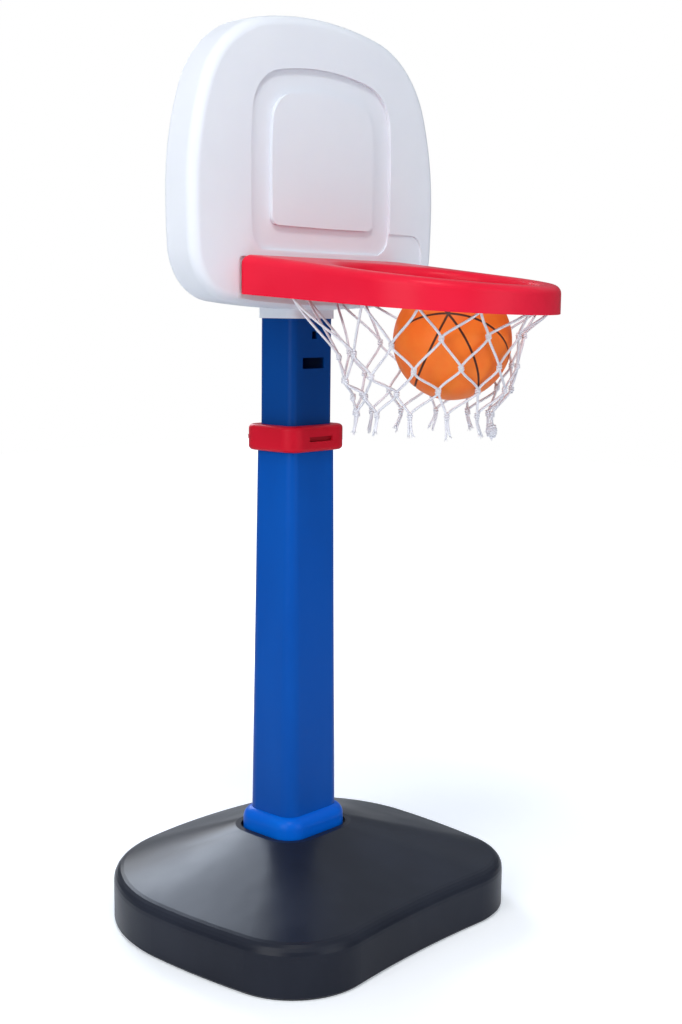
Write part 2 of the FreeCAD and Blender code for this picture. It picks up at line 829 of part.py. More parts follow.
def hook_plate(x, y, angle):
    """Plate that hangs from the top of the tray, with a window for one loop of the net."""
    low = hook_bar_z(y) - hook_bar / 2
    length = hook_plate_length / 2
    thick = hook_plate_thickness / 2
    plate = box_between((-length, -thick, low), (length, thick, ring_top_z))
    side = length - hook_bar
    window = box_between((-side, -thick - over, low + hook_bar),
                         (side, thick + over, low + hook_bar + hook_window))
    plate = plate.cut(window)
    plate.rotate(Vector(0, 0, 0), UP, math.degrees(angle))
    plate.translate(Vector(x, y, 0))
    return plate


def ring():
    """Open-bottomed tray with a round hole, hook plates for the net and holes for its bolts."""
    hole_wall = ring_hole_radius + ring_wall
    centre = Vector(0, ring_centre_y, 0)
    outer = ring_form(0.0, ring_top_round)
    hole = Part.makeCylinder(ring_hole_radius, 2 * ring_top_z, centre)
    outer = outer.cut(hole)
    outer = outer.makeFillet(ring_hole_round, edges_on_droop_near_hole(outer))
    inner = ring_form(ring_wall, ring_top_round - ring_wall)
    inner = inner.cut(Part.makeCylinder(hole_wall, 2 * ring_top_z, centre))
    inner = inner.cut(hole_edge_wedge())
    shell = outer.cut([inner, below_droop(ring_bottom_z, ring_bottom_droop)])
    plates = [hook_plate(*spot) for spot in hook_spots()]
    room = ring_form(ring_wall / 2, ring_top_round - ring_wall / 2)
    plates = [plate.common(room) for plate in plates]
    shell = shell.fuse(plates)
    holes = [rod(bolt_radius + bolt_clearance, (x, ring_back_y - 2 * ring_wall, bolt_z),
                 (x, ring_back_y + over, bolt_z)) for x in bolt_xs]
    return shell.cut(holes)


def edges_on_droop_near_hole(body):
    found = []
    for edge in edges_on_droop(body, ring_top_z, ring_top_droop):
        middle = edge.valueAt((edge.FirstParameter + edge.LastParameter) / 2)
        if math.hypot(middle.x, middle.y - ring_centre_y) < ring_hole_radius + ring_wall:
            found.append(edge)
    return found


def hole_edge_wedge():
    """Keeps the wall thick where the rounded lip of the hole dips."""
    centre = Vector(0, ring_centre_y, 0)
    body = Part.makeCylinder(ring_hole_radius + ring_hole_round, 2 * ring_top_z, centre)
    low = below_droop(ring_top_z - ring_hole_round, ring_top_droop)
    return body.cut(low)


# Bolts between the ring and the board


def ring_bolts():
    start = ring_back_y - ring_wall
    end = board_back_reach + plate_washer_thickness + nut_height + bolt_tip
    return Part.Compound([
        screw(bolt_head_radius, bolt_head_height, bolt_radius, (x, start, bolt_z), (x, end, bolt_z))
        for x in bolt_xs
    ])


def ring_washers():
    back = board_back_reach
    bore = bolt_radius + bolt_clearance
    return Part.Compound([
        rod(washer_radius, (x, back, bolt_z), (x, back + plate_washer_thickness, bolt_z)).cut(
            rod(bore, (x, back, bolt_z), (x, back + plate_washer_thickness, bolt_z)))
        for x in bolt_xs
    ])


def ring_nuts():
    """Hexagon nuts on the washers behind the board."""
    seat = board_back_reach + plate_washer_thickness
    radius = nut_across / math.sqrt(3)
    corners = [
        Vector(radius * math.cos(math.radians(60 * side)), seat, radius * math.sin(math.radians(60 * side)))
        for side in range(7)
    ]
    face = Part.Face(Part.makePolygon(corners))
    nuts = []
    for x in bolt_xs:
        nut = face.extrude(Vector(0, nut_height, 0))
        nut.translate(Vector(x, 0, bolt_z))
        thread = rod(bolt_radius + thread_clearance, (x, 0, bolt_z), (x, seat + nut_height + over, bolt_z))
        nuts.append(nut.cut(thread))
    return Part.Compound(nuts)


# Net


def net_knot(row, step):
    """Centre of one knot; the rows are ovals that sag to the left, turned by half a step from row to row."""
    turn = math.radians(net_turn)
    shift = 0.5 if row % 2 == 0 else 0.0
    angle = 2 * math.pi * (step + shift) / net_count + math.pi - turn
    right = ring_hole_radius * (net_right_shares[row] + net_width_shares[row] * math.cos(angle))
    back = ring_hole_radius * (net_depth_shares[row] * math.sin(angle) - net_front_shares[row])
    sag = ring_hole_radius * net_sag_shares[row] * ((1 - math.cos(angle)) / 2) ** net_sag_power
    return Vector(right * math.cos(turn) - back * math.sin(turn),
                  ring_centre_y + right * math.sin(turn) + back * math.cos(turn),
                  net_top_z - net_row_drops[row] - sag)


def net_knots():
    return [[net_knot(row, step) for step in range(net_count)] for row in range(len(net_row_drops))]


def net_loop_radius():
    return hook_bar * math.sqrt(0.5) + net_cord_radius + net_loop_clearance


def net_ties():
    """Where each loop is tied off, below its hook."""
    return [Vector(x, y, hook_bar_z(y) - net_loop_radius()) for x, y, angle in hook_spots()]


def net_runs():
    """Start and end of each straight run of cord, from the ties down to the last row of knots."""
    ties = net_ties()
    rows = net_knots()
    runs = []
    for step in range(net_count):
        following = (step + 1) % net_count
        runs.append((rows[0][step], ties[step]))
        runs.append((rows[0][step], ties[following]))
        for row in range(1, len(rows)):
            neighbour = (step - 1) % net_count if row % 2 == 1 else following
            runs.append((rows[row][step], rows[row - 1][step]))
            runs.append((rows[row][step], rows[row - 1][neighbour]))
    return runs


def bead(radius, centre, outward, seam):
    """Round knot whose poles point in and out and whose seam faces away from the cords."""
    sphere = Part.makeSphere(radius)
    turn = FreeCAD.Rotation(seam, outward.cross(seam), outward, "ZXY")
    sphere.Placement = FreeCAD.Placement(centre, turn)
    return sphere


def free_side(knot, outward, ends):
    """Direction across the knot that lies in the middle of the widest gap between its cords."""
    across = outward.cross(UP)
    turns = sorted(math.atan2((end - knot).dot(UP), (end - knot).dot(across)) for end in ends)
    gaps = [(following - turn, turn) for turn, following in zip(turns, turns[1:])]
    gaps.append((turns[0] + 2 * math.pi - turns[-1], turns[-1]))
    gap, turn = max(gaps)
    middle = turn + gap / 2
    return across * math.cos(middle) + UP * math.sin(middle)


def net():
    """Knotted cord net: loops on the hook plates, rows of knots and a tail under each last knot."""
    loops = []
    knots = []
    for spot, tie in zip(hook_spots(), net_ties()):
        x, y, angle = spot
        along = Vector(math.cos(angle), math.sin(angle), 0)
        centre = Vector(x, y, hook_bar_z(y))
        loops.append(Part.makeTorus(net_loop_radius(), net_cord_radius, centre, along))
        knots.append(bead(net_tie_radius, tie, along, UP))
    runs = net_runs()
    for knot in net_knots()[-1]:
        outward = Vector(knot.x, knot.y - ring_centre_y, 0).normalize()
        runs.append((knot, knot + outward * net_tail_lean - UP * net_tail_length))
    for row in net_knots():
        for knot in row:
            outward = Vector(knot.x, knot.y - ring_centre_y, 0).normalize()
            ends = [end for start, end in runs if start.isEqual(knot, net_cord_radius)]
            ends += [start for start, end in runs if end.isEqual(knot, net_cord_radius)]
            knots.append(bead(net_knot_radius, knot, outward, free_side(knot, outward, ends)))
    cords = [rod(net_cord_radius, tuple(start), tuple(end)) for start, end in runs]
    tied = knots[0].multiFuse(knots[1:] + loops)
    return tied.multiFuse(cords)


# Ball


def run_distance(point, start, end):
    """Distance from a point to a straight run of cord."""
    way = end - start
    share = (point - start).dot(way) / way.dot(way)
    nearest = start + way * min(max(share, 0.0), 1.0)
    return (point - nearest).Length


def ball_gap(centre):
    """Smallest gap between the ball and the cords and knots of the net."""
    gaps = [run_distance(centre, start, end) - net_cord_radius for start, end in net_runs()]
    gaps += [(centre - knot).Length - net_knot_radius for row in net_knots() for knot in row]
    return min(gaps) - ball_radius


def ball_centre():
    """The ball is lowered through the ring until it lies in the net."""
    centre = Vector(ball_right_share * ring_hole_radius,
                    ring_centre_y - ball_forward_share * ring_hole_radius, ring_top_z + ball_radius)
    left = ball_gap(centre) - ball_seat_clearance
    while left > ball_seat_clearance / 100:
        centre.z -= left
        left = ball_gap(centre) - ball_seat_clearance
    return centre


def valve_way():
    tilt = math.radians(valve_tilt)
    return Vector(0, math.cos(tilt), math.sin(tilt))


def ball():
    centre = ball_centre()
    skin = Part.makeSphere(ball_radius, centre).cut(Part.makeSphere(ball_radius - ball_wall, centre))
    inner_end = centre + valve_way() * (ball_radius - valve_length - over)
    return skin.cut(Part.makeCylinder(valve_radius, valve_length + 2 * over, inner_end, valve_way()))


def ball_valve():
    """Rubber plug that is flush with the skin of the ball."""
    centre = ball_centre()
    start = centre + valve_way() * (ball_radius - valve_length)
    plug = Part.makeCylinder(valve_radius - thread_clearance, valve_length + over, start, valve_way())
    return plug.common(Part.makeSphere(ball_radius, centre))


# Every node of the part
save("base_shell", base_shell())
save("filler_cap", filler_cap())
save("filler_washer", filler_washer())
save("lower_pole", lower_pole())
save("foot_screws", foot_screws())
save("pole_skirt", pole_skirt())
save("collar", collar())
save("collar_screws", collar_screws())
save("lock_bar", lock_bar())
save("upper_pole", upper_pole())
save("upper_pole_glide", upper_pole_glide())
save("backboard", backboard())
save("neck_screws", neck_screws())
save("ring", ring())
save("ring_bolts", ring_bolts())
save("ring_washers", ring_washers())
save("ring_nuts", ring_nuts())
save("net", net())
save("ball", ball())
save("ball_valve", ball_valve())
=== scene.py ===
import math
import random

import bmesh
import bpy
from mathutils import Matrix, Vector


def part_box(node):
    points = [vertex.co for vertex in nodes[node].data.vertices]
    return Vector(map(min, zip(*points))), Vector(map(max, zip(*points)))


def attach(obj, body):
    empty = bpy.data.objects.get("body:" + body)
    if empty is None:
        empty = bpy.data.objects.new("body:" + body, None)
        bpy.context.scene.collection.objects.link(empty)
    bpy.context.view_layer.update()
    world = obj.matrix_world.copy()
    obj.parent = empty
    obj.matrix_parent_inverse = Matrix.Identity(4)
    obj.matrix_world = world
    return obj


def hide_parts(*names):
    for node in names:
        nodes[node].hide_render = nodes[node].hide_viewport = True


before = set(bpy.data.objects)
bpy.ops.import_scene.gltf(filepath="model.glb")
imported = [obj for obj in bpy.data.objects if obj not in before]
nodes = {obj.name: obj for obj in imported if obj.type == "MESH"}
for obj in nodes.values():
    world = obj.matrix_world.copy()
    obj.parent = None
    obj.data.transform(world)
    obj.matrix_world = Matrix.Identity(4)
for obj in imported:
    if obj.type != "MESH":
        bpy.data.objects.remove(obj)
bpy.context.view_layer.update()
MM = 0.001


# Base tank
# The real base is one hollow tank of dark slate polyethylene, blow-moulded between two mould halves.
# It stands on its flat underside and is weighted with sand or water; its skin is satin, with faint
# flow creases and a very fine grain.

BASE_SLATE = (0.013, 0.0155, 0.025)
BASE_SLATE_PALE = (0.022, 0.026, 0.040)
CLOUD_SIZE = 110.0 * MM
CLOUD_SPAN = (0.35, 0.7)
CLOUD_SHARE = 0.5
GLOSS_SPAN = (0.3, 0.75)
GLOSSIER_BY = 0.03
DULLER_BY = 0.05
FLECK_SIZE = 9.0 * MM
FLECK_SPAN = (0.5, 0.8)
FLECK_SHARE = 0.08
EDGE_SPAN = (0.52, 0.62)
WAVE_SIZE = 60.0 * MM
WAVE_DEPTH = 0.6 * MM
GRAIN_SIZE = 0.7 * MM
GRAIN_DEPTH = 0.04 * MM
PLASTIC_IOR = 1.5
DEEP_LIGHT_REACH = (0.004, 0.004, 0.005)


def shader_nodes(name):
    """New material with its output and main shader; returns the material, its tree and the shader."""
    material = bpy.data.materials.new(name)
    material.use_nodes = True
    tree = material.node_tree
    return material, tree, tree.nodes["Principled BSDF"]


def object_place(tree, scale=(1.0, 1.0, 1.0)):
    """Place on the object, stretched by a scale for each axis."""
    place = tree.nodes.new("ShaderNodeTexCoord")
    mapping = tree.nodes.new("ShaderNodeMapping")
    mapping.inputs["Scale"].default_value = scale
    tree.links.new(place.outputs["Object"], mapping.inputs["Vector"])
    return mapping.outputs["Vector"]


def noise_field(tree, where, size, detail=3.0, roughness=0.5):
    """Noise whose features are about the given size in metres."""
    field = tree.nodes.new("ShaderNodeTexNoise")
    field.inputs["Scale"].default_value = 1.0 / size
    field.inputs["Detail"].default_value = detail
    field.inputs["Roughness"].default_value = roughness
    tree.links.new(where, field.inputs["Vector"])
    return field.outputs["Fac"]


def remap(tree, value, span, result):
    """Stretches one span of values to another, easing in and out at its ends."""
    remapper = tree.nodes.new("ShaderNodeMapRange")
    remapper.interpolation_type = "SMOOTHSTEP"
    for socket, number in zip(("From Min", "From Max", "To Min", "To Max"), span + result):
        remapper.inputs[socket].default_value = number
    tree.links.new(value, remapper.inputs["Value"])
    return remapper.outputs["Result"]


def blend_colours(tree, share, first, second):
    """Mixes two colours, each a constant or a link, by a linked share."""
    mixer = tree.nodes.new("ShaderNodeMix")
    mixer.data_type = "RGBA"
    tree.links.new(share, mixer.inputs["Factor"])
    # A colour mixer takes its two colours at sockets 6 and 7 and gives the result at output 2.
    for index, colour in ((6, first), (7, second)):
        if isinstance(colour, tuple):
            mixer.inputs[index].default_value = colour + (1.0,)
        else:
            tree.links.new(colour, mixer.inputs[index])
    return mixer.outputs[2]


def bump_chain(tree, shader, layers):
    """Stacks bumps, each a height link with its depth in metres, on the shader's normal."""
    normal = None
    for height, depth in layers:
        bump = tree.nodes.new("ShaderNodeBump")
        bump.inputs["Strength"].default_value = 1.0
        bump.inputs["Distance"].default_value = depth
        tree.links.new(height, bump.inputs["Height"])
        if normal is not None:
            tree.links.new(normal, bump.inputs["Normal"])
        normal = bump.outputs["Normal"]
    tree.links.new(normal, shader.inputs["Normal"])


def moulded_plastic(name, colour, pale, roughness, wave=WAVE_DEPTH, wear=0.35,
                    stretch=(1.0, 1.0, 1.0), translucence=0.0, shine=0.11):
    """Moulded plastic: a slow wave of the wall, a fine grain, cloudy gloss and paler worn edges."""
    material, tree, shader = shader_nodes(name)
    where = object_place(tree, stretch)
    cloud = noise_field(tree, where, CLOUD_SIZE, detail=2.0)
    fleck = noise_field(tree, where, FLECK_SIZE, detail=4.0)
    edge = tree.nodes.new("ShaderNodeNewGeometry").outputs["Pointiness"]
    tone = blend_colours(tree, remap(tree, cloud, CLOUD_SPAN, (0.0, CLOUD_SHARE)), colour, pale)
    tone = blend_colours(tree, remap(tree, fleck, FLECK_SPAN, (0.0, FLECK_SHARE)), tone, pale)
    tone = blend_colours(tree, remap(tree, edge, EDGE_SPAN, (0.0, wear)), tone, pale)
    tree.links.new(tone, shader.inputs["Base Color"])
    gloss = remap(tree, cloud, GLOSS_SPAN, (roughness - GLOSSIER_BY, roughness + DULLER_BY))
    tree.links.new(gloss, shader.inputs["Roughness"])
    slow = noise_field(tree, where, WAVE_SIZE, detail=1.0)
    fine = noise_field(tree, where, GRAIN_SIZE, detail=2.0)
    bump_chain(tree, shader, [(slow, wave), (fine, GRAIN_DEPTH)])
    shader.inputs["IOR"].default_value = PLASTIC_IOR
    shader.inputs["Specular IOR Level"].default_value = shine
    if translucence > 0:
        shader.inputs["Subsurface Weight"].default_value = translucence
        shader.inputs["Subsurface Radius"].default_value = DEEP_LIGHT_REACH
        shader.inputs["Subsurface Scale"].default_value = 1.0
    return material


def give_finish(node, material):
    """Gives a carried-over node its finish."""
    mesh = nodes[node].data
    mesh.materials.clear()
    mesh.materials.append(material)


give_finish("base_shell", moulded_plastic("slate_polyethylene", BASE_SLATE, BASE_SLATE_PALE,
                                          roughness=0.31, shine=0.17))


# Filler cap and washer
# A push-in cap of the same plastic closes the filler in a round pocket at the back of the tank.
# A soft rubber washer under its flange keeps the water in.

CAP_BLACK = (0.006, 0.0065, 0.008)
CAP_PALE = (0.02, 0.021, 0.025)
RUBBER_BLACK = (0.012, 0.012, 0.012)
RUBBER_PALE = (0.03, 0.03, 0.03)
RUBBER_WAVE_DEPTH = 0.2 * MM

give_finish("filler_cap", moulded_plastic("cap_polyethylene", CAP_BLACK, CAP_PALE, roughness=0.38))
washer_rubber = moulded_plastic("washer_rubber", RUBBER_BLACK, RUBBER_PALE, roughness=0.7,
                                wave=RUBBER_WAVE_DEPTH)
give_finish("filler_washer", washer_rubber)


# Lower pole and its screws
# The lower pole is a tapered blow-moulded tube, bright blue right through, with a satin skin whose
# marks are drawn out along it. Two zinc-plated screws are driven up through the tank into its foot.

LOWER_BLUE = (0.0, 0.072, 0.38)
LOWER_BLUE_PALE = (0.0, 0.097, 0.47)
POLE_STRETCH = (1.0, 1.0, 0.3)
ZINC = (0.56, 0.57, 0.58)
ZINC_DARK = (0.3, 0.31, 0.32)
ZINC_PATCH_SIZE = 3.0 * MM
ZINC_TONE_SPAN = (0.4, 0.75)
ZINC_GLOSS_SPAN = (0.3, 0.8)
ZINC_ROUGHNESS = (0.25, 0.45)
ZINC_GRAIN_SIZE = 0.6 * MM
ZINC_GRAIN_DEPTH = 0.02 * MM


def plated_steel():
    """Zinc-plated steel with a fine grain and slightly duller patches."""
    material, tree, shader = shader_nodes("plated_steel")
    where = object_place(tree)
    patch = noise_field(tree, where, ZINC_PATCH_SIZE, detail=3.0)
    tone = blend_colours(tree, remap(tree, patch, ZINC_TONE_SPAN, (0.0, 1.0)), ZINC, ZINC_DARK)
    tree.links.new(tone, shader.inputs["Base Color"])
    tree.links.new(remap(tree, patch, ZINC_GLOSS_SPAN, ZINC_ROUGHNESS), shader.inputs["Roughness"])
    shader.inputs["Metallic"].default_value = 1.0
    bump_chain(tree, shader, [(noise_field(tree, where, ZINC_GRAIN_SIZE, detail=2.0), ZINC_GRAIN_DEPTH)])
    return material


steel = plated_steel()
give_finish("lower_pole", moulded_plastic("lower_pole_polyethylene", LOWER_BLUE, LOWER_BLUE_PALE,
                                          roughness=0.33, stretch=POLE_STRETCH))
give_finish("foot_screws", steel)


# Skirt round the foot of the pole
# A separate rounded cover drops over the pole and hides the mouth of the well that the pole
# stands in. Its blue is painted brighter than the lower pole's: painted light for its upward-facing top.

# Painted light: the skirt's blue is brighter than the lower pole's to stand in for the light on its
# upward-facing top.
SKIRT_LIT_BLUE = (0.0, 0.112, 0.62)
SKIRT_LIT_BLUE_PALE = (0.0, 0.17, 0.75)

give_finish("pole_skirt", moulded_plastic("skirt_polyethylene", SKIRT_LIT_BLUE, SKIRT_LIT_BLUE_PALE,
                                          roughness=0.32))


# Collar, its screws and the lock bar
# The collar is a red injection-moulded band, screwed to the top of the lower pole from behind.
# A red bar slides in its slit and drops into one of the slots of the upper pole. Its red is painted darker:
# painted shade for the shadow in the recessed slit.

COLLAR_RED = (0.56, 0.007, 0.022)
COLLAR_RED_PALE = (0.72, 0.009, 0.034)
# Painted shade: the lock bar's red is darkened to stand in for the shadow inside the recessed slit.
LOCK_SHADED_RED = (0.30, 0.005, 0.013)

give_finish("collar", moulded_plastic("collar_polypropylene", COLLAR_RED, COLLAR_RED_PALE,
                                      roughness=0.34, wear=0.2))
give_finish("collar_screws", steel)
give_finish("lock_bar", moulded_plastic("lock_nylon", LOCK_SHADED_RED, COLLAR_RED, roughness=0.35, wear=0.3))


# Upper pole and its glide
# A straight blow-moulded tube in a slightly deeper blue, with a row of slots for the lock bar.
# A pale glide plugged in its lower end runs inside the lower pole.

UPPER_BLUE = (0.0, 0.042, 0.215)
UPPER_BLUE_PALE = (0.0, 0.060, 0.29)
GLIDE_PALE = (0.55, 0.55, 0.52)
GLIDE_GREY = (0.42, 0.42, 0.4)

give_finish("upper_pole", moulded_plastic("upper_pole_polyethylene", UPPER_BLUE, UPPER_BLUE_PALE,
                                          roughness=0.34, stretch=POLE_STRETCH))
give_finish("upper_pole_glide", moulded_plastic("glide_nylon", GLIDE_PALE, GLIDE_GREY, roughness=0.5))


# Backboard and the screws of its neck
# The board is a hollow blow-moulded panel of milky white polyethylene, with a channel and a raised
# target in its face; its neck slips over the upper pole and two screws hold it from behind.

BOARD_WHITE = (0.765, 0.79, 0.85)
BOARD_WHITE_PALE = (0.80, 0.825, 0.875)
BOARD_EDGE_WIDTH = 2.3 * MM
BOARD_EDGE_STEPS = 3
BOARD_EDGE_TURN = math.radians(32.0)

give_finish("backboard", moulded_plastic("board_polyethylene", BOARD_WHITE, BOARD_WHITE_PALE,
                                         roughness=0.36, translucence=0.15, wear=0.1))
give_finish("neck_screws", steel)
soft_edges = nodes["backboard"].modifiers.new("soft_edges", "BEVEL")
soft_edges.width = BOARD_EDGE_WIDTH
soft_edges.segments = BOARD_EDGE_STEPS
soft_edges.limit_method = "ANGLE"
soft_edges.angle_limit = BOARD_EDGE_TURN
soft_edges.harden_normals = True


# Ring and its bolts
# The ring is an open-bottomed red tray with a round hole, bolted flat against the board.
# Bolts go through columns in the board to washers and nuts behind it.

RING_RED = (0.72, 0.009, 0.034)
RING_RED_PALE = (0.79, 0.018, 0.05)

give_finish("ring", moulded_plastic("ring_polyethylene", RING_RED, RING_RED_PALE, roughness=0.32, wear=0.2))
for fixing in ("ring_bolts", "ring_washers", "ring_nuts"):
    give_finish(fixing, steel)


# Net
# The real net is knotted from one soft, twisted white cord about 4 mm thick. Its loops hang on the
# hook plates under the ring, each run is tied to its neighbours with a wrapped knot, and the
# doubled ends below the last row are cut off and have begun to fray.

RING_RIM = 29.0 * MM
RING_PLATE = 44.0 * MM
RING_BOTTOM_Z = 936.0 * MM
RING_DROOP = math.radians(3.7)
HOOK_RISE = 11.0 * MM
HOOK_BACK_INSET = 24.0 * MM
HOOK_SIDE_SHARE = 0.905
HOOK_BACK_SHARE = 0.438
FRONT_HOOKS = 7
NET_TURN = math.radians(-46.0)
NET_COUNT = 12
NET_TOP_Z = 924.0 * MM
NET_DROPS = (40.0 * MM, 80.0 * MM, 112.0 * MM, 146.0 * MM)
NET_RIGHT_SHARES = (-0.0365, -0.060, -0.026, -0.110)
NET_FRONT_SHARES = (0.0073, 0.1022, 0.0438, 0.0219)
NET_WIDTH_SHARES = (0.9161, 0.863, 0.785, 0.690)
NET_DEPTH_SHARES = (0.7518, 0.6277, 0.4380, 0.4380)
NET_SAG_SHARES = (0.23, 0.175, 0.095, 0.0)
NET_SAG_POWER = 3
UP = Vector((0.0, 0.0, 1.0))

ring_high = Vector(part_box("ring")[1])
ring_half_width = ring_high.x
ring_back_y = ring_high.y
ring_hole_radius = ring_half_width - RING_RIM
ring_centre_y = ring_back_y - ring_half_width - RING_PLATE
ball_low, ball_high = (Vector(corner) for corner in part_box("ball"))
ball_centre = (ball_low + ball_high) / 2
ball_radius = (ball_high.z - ball_low.z) / 2
chance = random.Random(11)


def hook_spots():
    """Place and direction of each hook plate, in the order of the net's hangers."""
    radius = ring_half_width - RING_RIM / 2
    spots = []
    for step in range(FRONT_HOOKS):
        angle = math.pi + math.pi * step / (FRONT_HOOKS - 1)
        spots.append((radius * math.cos(angle), ring_centre_y + radius * math.sin(angle), angle))
    side_y = ring_centre_y + HOOK_SIDE_SHARE * ring_hole_radius
    spots.append((radius, side_y, 0.0))
    for side in (1, 0, -1):
        spots.append((side * HOOK_BACK_SHARE * ring_hole_radius, ring_back_y - HOOK_BACK_INSET, math.pi / 2))
    spots.append((-radius, side_y, 0.0))
    return spots


def hook_bar_z(y):
    """Height of the bar of a hook plate, which follows the drooping underside of the ring."""
    return RING_BOTTOM_Z + math.tan(RING_DROOP) * (y - ring_back_y) + HOOK_RISE


def net_knot(row, step):
    """Centre of a knot; each row is an oval that sags to the left, half a step on from the last."""
    shift = 0.5 if row % 2 == 0 else 0.0
    angle = 2 * math.pi * (step + shift) / NET_COUNT + math.pi - NET_TURN
    right = ring_hole_radius * (NET_RIGHT_SHARES[row] + NET_WIDTH_SHARES[row] * math.cos(angle))
    back = ring_hole_radius * (NET_DEPTH_SHARES[row] * math.sin(angle) - NET_FRONT_SHARES[row])
    sag = ring_hole_radius * NET_SAG_SHARES[row] * ((1 - math.cos(angle)) / 2) ** NET_SAG_POWER
    return Vector((right * math.cos(NET_TURN) - back * math.sin(NET_TURN),
                   ring_centre_y + right * math.sin(NET_TURN) + back * math.cos(NET_TURN),
                   NET_TOP_Z - NET_DROPS[row] - sag))


def outward_of(point):
    """Level direction from the middle of the hoop to a point."""
    return Vector((point.x, point.y - ring_centre_y, 0.0)).normalized()


CORD_RADIUS = 1.95 * MM
CORD_LAY = 11.0 * MM
CORD_STEP = 1.3 * MM
CORD_LEAST_STEPS = 4
CORD_SIDES = 12
CORD_YARNS = 3
YARN_SHARE = 0.13
CUT_END_SHARE = 0.72
BALL_CLEARANCE = 0.25 * MM


def smooth_run(start, start_way, end, end_way, pull):
    """Points about a step apart on a smooth curve that leaves and arrives along the given ways."""
    reach = (end - start).length
    count = max(CORD_LEAST_STEPS, round(reach / CORD_STEP))
    first = start + start_way * (pull * reach)
    second = end - end_way * (pull * reach)
    points = []
    for index in range(count + 1):
        share = index / count
        rest = 1 - share
        points.append(start * rest ** 3 + first * (3 * rest * rest * share)
                      + second * (3 * rest * share * share) + end * share ** 3)
    return points


def clear_of_ball(points, radius):
    """Moves the points of a cord out until it lies on the skin of the ball."""
    least = ball_radius + radius + BALL_CLEARANCE
    moved = []
    for point in points:
        away = point - ball_centre
        if away.length < least:
            away = away.normalized() * least
        moved.append(ball_centre + away)
    return moved


def twisted_tube(verts, faces, points, radius, turn=0.0):
    """Adds a closed tube of twisted yarns along the points; the yarns wind round as it goes."""
    side = (points[1] - points[0]).normalized().orthogonal().normalized()
    base = len(verts)
    travelled = 0.0
    last = len(points) - 1
    for index, point in enumerate(points):
        way = (points[min(index + 1, last)] - points[max(index - 1, 0)]).normalized()
        side = (side - way * side.dot(way)).normalized()
        across = way.cross(side)
        if index > 0:
            travelled += (point - points[index - 1]).length
        wind = turn + 2 * math.pi * travelled / CORD_LAY
        narrow = CUT_END_SHARE if index in (0, last) else 1.0
        for corner in range(CORD_SIDES):
            angle = 2 * math.pi * corner / CORD_SIDES
            yarn = YARN_SHARE * math.cos(CORD_YARNS * (angle - wind))
            here = radius * narrow * (1 - YARN_SHARE + yarn)
            verts.append(point + side * (here * math.cos(angle)) + across * (here * math.sin(angle)))
    for index in range(last):
        low = base + index * CORD_SIDES
        for corner in range(CORD_SIDES):
            following = (corner + 1) % CORD_SIDES
            faces.append((low + corner, low + following,
                          low + CORD_SIDES + following, low + CORD_SIDES + corner))
    faces.append(tuple(base + corner for corner in reversed(range(CORD_SIDES))))
    faces.append(tuple(base + last * CORD_SIDES + corner for corner in range(CORD_SIDES)))


KNOT_CORD_RADIUS = 1.75 * MM
KNOT_WRAP_RADIUS = 2.3 * MM
KNOT_HEIGHT = 8.6 * MM
KNOT_HEIGHT_SHARES = (0.88, 1.12)
KNOT_TURNS = (2.6, 3.0, 3.3)
WRAP_STEPS = 14
WRAP_LEAN = 0.2
WRAP_TUCK_SHARE = 0.35
WRAP_TUCK_RATE = 6
CORE_STEPS = 6


def wrapped_knot(verts, faces, centre, outward, height, wrap_radius, cord_radius, turns, belly=0.12):
    """Adds a bundle of turns of cord round a vertical core, as a knot pulled tight."""
    lean = Vector((chance.uniform(-WRAP_LEAN, WRAP_LEAN), chance.uniform(-WRAP_LEAN, WRAP_LEAN), 1.0))
    lean.normalize()
    across = outward.cross(lean).normalized()
    out = lean.cross(across).normalized()
    begin = chance.uniform(0, 2 * math.pi)
    count = round(turns * WRAP_STEPS)
    points = []
    for index in range(count + 1):
        share = index / count
        angle = begin + 2 * math.pi * turns * share
        tuck = min(1.0, WRAP_TUCK_RATE * min(share, 1 - share) + WRAP_TUCK_SHARE)
        swell = 1.0 + belly * math.sin(math.pi * share)
        points.append(centre + lean * (height * (share - 0.5))
                      + (across * math.cos(angle) + out * math.sin(angle)) * (wrap_radius * tuck * swell))
    twisted_tube(verts, faces, clear_of_ball(points, cord_radius), cord_radius, turn=begin)
    core = [centre + lean * (height * (index / CORE_STEPS - 0.5)) for index in range(CORE_STEPS + 1)]
    twisted_tube(verts, faces, clear_of_ball(core, wrap_radius), wrap_radius, turn=begin)


CORD_SHADE = (0.70, 0.70, 0.76)
CORD_WHITE = (0.86, 0.86, 0.90)
# A lavender tint laid on the cord in slow random patches.
CORD_LAVENDER = (0.78, 0.77, 0.86)
CORD_LAVENDER_SHARE = 0.35
CORD_CLOUD_SIZE = 30.0 * MM
CORD_CLOUD_SPAN = (0.4, 0.7)
CORD_LIGHT_REACH = (0.002, 0.002, 0.002)
FIBRE_SIZE = 0.9 * MM
FIBRE_DEPTH = 0.18 * MM
FIBRE_SPAN = (0.3, 0.7)
FIBRE_ROUGHNESS = (0.65, 0.85)


